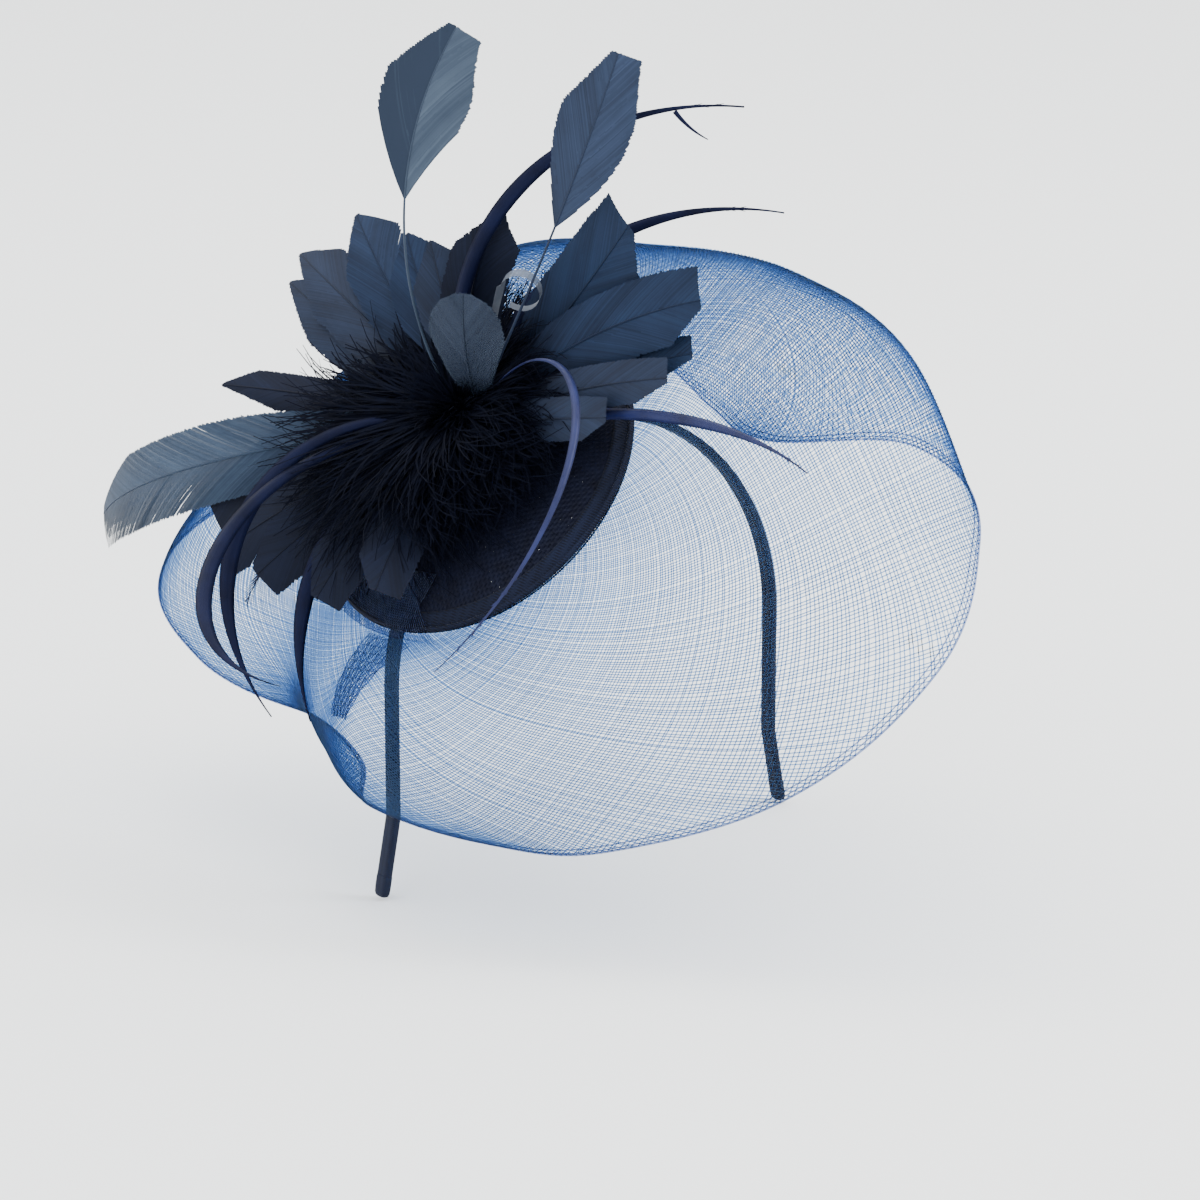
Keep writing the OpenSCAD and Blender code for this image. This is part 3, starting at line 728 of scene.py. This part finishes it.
def make_feather(feather):
    name, kind = feather[0], feather[1]
    quill = Quill(feather)
    look = LOOKS.get(name, SLOT_LOOKS[SLOT_OF[name]])
    shade = None
    if kind in VANES:
        verts, faces, shade = barbs(quill, *VANES[kind], DARK_SIDE.get(name, 0.0))
        parts = [(verts, faces), quill_tube(quill, 0.5, 0.18)]
    elif kind == "curl":
        parts = [curl(quill)]
    else:
        wander = 0.5 if name == "ragged_biot" else 0.0
        share = 0.7 if name == "strand_front" else 1.0
        parts = [blade(quill, 0.3, wander, share)]
        if kind == "strand":
            parts.append(hairs_along(quill, (0.05, 0.95), 60, 3.0, 14.0))
        if name == "ragged_biot":
            parts.append(hairs_along(quill, (0.3, 0.98), 90, 9.0, 24.0))
        if name == "strand_top":
            parts.append(side_barb(quill, 0.86, 13.0, -62.0))
    verts, faces = join(*parts)
    if shade is not None:
        shade = np.concatenate([shade, np.full(len(verts) - len(shade), 0.3)])
    piece = mesh_piece(name + "_look", on_base(verts), faces, look, BODY_OF[name], SLOT_OF[name],
                       shade=shade)
    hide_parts(name)


def side_barb(quill, start, length, angle):
    """A single stiff barb that leaves the strand sideways and curls a little."""
    t = np.linspace(0, 1, 16)
    origin = quill.at(np.array([start]), "path")[0]
    along, side, up = (quill.at(np.array([start]), w)[0] for w in ("along", "side", "up"))
    turn = np.radians(angle + 26 * t)
    step = (np.cos(turn)[:, None] * along + np.sin(turn)[:, None] * side) * length / len(t)
    path = origin + np.cumsum(step, 0)
    return tubes(path[None], (0.75 - 0.6 * t)[None], 5, axis=up)


def curl(quill):
    """A narrow feather whose tip rolls into a ring."""
    stem = np.linspace(0, 0.7, 30)
    base = quill.at(stem, "path")
    ahead, side, up = (quill.at(np.array([0.7]), w)[0] for w in ("along", "side", "up"))
    ring_r, ring_turn = 5.8, 290
    turn = np.radians(np.linspace(0, ring_turn, 40))[1:]
    loop = base[-1] + ring_r * (np.sin(turn)[:, None] * ahead + (1 - np.cos(turn))[:, None] * -side)
    path = np.concatenate([base, loop])
    wide = np.concatenate([np.linspace(0.8, 2.2, len(base)), np.linspace(2.2, 1.4, len(loop))])
    half = np.concatenate([quill.at(stem, "side") * 0.4 + quill.at(stem, "up") * 0.9,
                           np.broadcast_to(up, loop.shape)])
    return strips(path[None], (unit(half) * wide[:, None])[None])


for row in FEATHERS:
    make_feather(row)


# ---- hackles, the dense dark ruff round the middle ----
def make_hackles():
    """Narrow barbs thrown out all round: most low and long, the rest short and upright."""
    count, points, low_share, mound_r = 8400, 8, 0.72, 6.2
    azimuth = random.uniform(0, 2 * pi, count)
    low = random.random(count) < low_share
    elevation = np.radians(np.where(low, random.uniform(0, 34, count), random.uniform(30, 80, count)))
    leftward = np.maximum(0, np.cos(azimuth - radians(165))) ** 1.5
    length = np.where(low, random.uniform(20, 36, count) + 20 * leftward, random.uniform(10, 17, count))
    droop = np.radians(random.uniform(8, 45, count))
    start_r = random.uniform(0.5, 15, count)
    start_up = np.where(start_r < mound_r, 7.4, 1.2)
    t = np.linspace(0, 1, points)[None]
    e = elevation[:, None] - droop[:, None] * t
    step = length[:, None] / (points - 1)
    out = start_r[:, None] + np.cumsum(step * np.cos(e), 1) - step * np.cos(e)
    z = SPRAY_AT[2] + start_up[:, None] + np.cumsum(step * np.sin(e), 1) - step * np.sin(e)
    bend = azimuth[:, None] + random.normal(0, 0.3, (count, 1)) * t ** 1.5
    x = SPRAY_AT[0] + out * np.cos(bend)
    y = SPRAY_AT[1] + out * np.sin(bend)
    floor = dome_height(np.clip(x, -70, 70), np.clip(y, -70, 70)) + 0.9
    z = np.maximum(z, floor)
    centre = np.stack([x, y, z], -1)
    sideways = np.stack([-np.sin(bend), np.cos(bend), np.zeros_like(bend)], -1)
    tilt = random.normal(0, 0.5, (count, 1, 1)) * np.array([0, 0, 1.0])
    half = unit(sideways + tilt) * np.linspace(0.55, 0.12, points)[None, :, None]
    verts, faces = strips(centre, half)
    ruff = mesh_piece("hackle_mass", on_base(verts), faces, HACKLE, "crown", "hackle")
    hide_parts("hackle_ruff")


make_hackles()


# ---- wrapped band ----
def band_path(start, side):
    """Centre line of the band from one angle off the crown to the tip, with its outward directions."""
    mid = BAND_R + BAND_T / 2
    arc = np.radians(np.arange(start, 90.0, 1.0))
    points = [(mid * sin(a), mid * cos(a), sin(a), cos(a)) for a in arc]
    points += [(mid, -z, 1.0, 0.0) for z in np.arange(0, ARM_STRAIGHT, 1.0)]
    flare = radians(FLARE_ANGLE)
    reach = ARM_FLARE - TAB_LEN / 2
    points += [(mid + d * sin(flare), -ARM_STRAIGHT - d * cos(flare), cos(flare), sin(flare))
               for d in np.arange(0.0, reach, 1.0)]
    x, z, out_x, out_z = np.array(points).T
    zero = np.zeros_like(x)
    return np.stack([side * x, zero, z], -1), np.stack([side * out_x, zero, out_z], -1)


def band_ring(out):
    """A rounded oblong section across the band, with a shallow seam on the side next to the head."""
    corner, points, seam_half, seam_depth = 4.0, 24, 0.3, 0.25
    turn = np.arange(points) * 2 * pi / points
    c, s = np.cos(turn), np.sin(turn)
    w = np.sign(s) * np.abs(s) ** (2 / corner) * BAND_W / 2
    t = np.sign(c) * np.abs(c) ** (2 / corner) * BAND_T / 2
    seam = np.where((c < 0) & (np.abs(w) < seam_half), seam_depth, 0.0)
    return out[:, None] * (t + seam)[None, :, None] + np.array([0, 1.0, 0]) * w[None, :, None]


def make_band_half(name, side, start, arm, *wraps):
    """One length of the band's cover, running from the crown across the arm's hinge."""
    path, out = band_path(start, side)
    verts, faces = swept(path, band_ring(out))
    cover = mesh_piece(name, verts, faces, BAND, None, "band_fabric")
    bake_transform(cover)
    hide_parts("band_wrap_crown", *wraps)


def make_band_tab(name, side, arm, node):
    """The fabric folded over the end of the arm."""
    flare = radians(FLARE_ANGLE)
    d = np.array([ARM_FLARE - TAB_LEN - 0.6, ARM_FLARE - TAB_LEN, ARM_FLARE - 3, ARM_FLARE - 1.2,
                  ARM_FLARE - 0.4, ARM_FLARE])
    shrink = np.array([1.0, 1.05, 1.05, 1.0, 0.85, 0.55])
    mid = BAND_R + BAND_T / 2
    path = np.stack([side * (mid + d * sin(flare)), 0 * d, -ARM_STRAIGHT - d * cos(flare)], -1)
    out = np.broadcast_to(np.array([side * cos(flare), 0, sin(flare)]), path.shape)
    ring = band_ring(out) * shrink[:, None, None]
    tab = mesh_piece(name, *swept(path, ring), BAND, arm, "band_fabric")
    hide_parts(node)


# The two covers meet on the right, this many degrees off the crown's middle, with a hair's gap
SEAM, SEAM_GAP = 31.0, 0.2
make_band_half("band_cover_left", 1, -SEAM, "left_arm", "band_wrap_left")
make_band_half("band_cover_right", -1, SEAM + SEAM_GAP, "right_arm", "band_wrap_right")
make_band_tab("band_tab_left", 1, "left_arm", "band_end_left")
make_band_tab("band_tab_right", -1, "right_arm", "band_end_right")


# ---- felt patch ----
def make_felt():
    """The felt patch of the CAD with an even surface and a little fuzz."""
    voxel, fuzz_height = 0.5, 0.06
    patch = bpy.data.objects.new("felt_pad", nodes["felt_patch"].data.copy())
    bpy.context.scene.collection.objects.link(patch)
    remesh = patch.modifiers.new("even", "REMESH")
    remesh.mode = "VOXEL"
    remesh.voxel_size = voxel * MM
    depsgraph = bpy.context.evaluated_depsgraph_get()
    patch.data = bpy.data.meshes.new_from_object(patch.evaluated_get(depsgraph))
    patch.modifiers.clear()
    co = np.array([v.co for v in patch.data.vertices])
    normal = np.array([v.normal for v in patch.data.vertices])
    x, y, z = co[:, :1] / MM, co[:, 1:2] / MM, co[:, 2:] / MM
    fuzz = fuzz_height * np.sin(x * 3.1) * np.sin(y * 2.7) * np.sin(z * 3.7)
    patch.data.vertices.foreach_set("co", (co + normal * fuzz * MM).ravel())
    patch.data.materials.clear()
    patch.data.materials.append(FELT)
    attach(patch, "crown")
    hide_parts("felt_patch")


make_felt()


# ---- stage and light ----
def make_floor():
    """A pale floor just under the lowest piece."""
    low = min(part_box(n)[0].z for n in nodes)
    radius, points, gap = 15000.0, 64, 0.5
    ring = [(radius * cos(2 * pi * k / points), radius * sin(2 * pi * k / points), low / MM - gap)
            for k in range(points)]
    material, tree, shader, coords = new_material("studio_floor")
    value = noise(tree, coords, 0.6)
    tree.links.new(ramp(tree, value, (0.3, (0.84, 0.85, 0.85)), (0.7, (0.86, 0.865, 0.86))),
                   shader.inputs["Base Color"])
    shader.inputs["Roughness"].default_value = 0.9
    floor = mesh_piece("floor", ring, [list(range(points))], material, None, None)


def add_light(name, place, size, energy):
    light = bpy.data.objects.new(name, bpy.data.lights.new(name, "AREA"))
    light.data.shape = "DISK"
    light.data.size = size
    light.data.energy = energy
    light.location = place
    light.rotation_euler = (-Vector(place)).to_track_quat("-Z", "Y").to_euler()
    bpy.context.scene.collection.objects.link(light)


make_floor()
world = bpy.data.worlds.new("studio")
bpy.context.scene.world = world
world.use_nodes = True
world.node_tree.nodes["Background"].inputs["Color"].default_value = (0.97, 0.99, 1.0, 1)
world.node_tree.nodes["Background"].inputs["Strength"].default_value = 2.6
add_light("key", (1.3, -1.2, 1.5), 1.0, 40)
add_light("fill", (-1.8, -0.8, 1.0), 1.4, 10)
add_light("top", (-0.2, 0.6, 2.0), 1.4, 16)
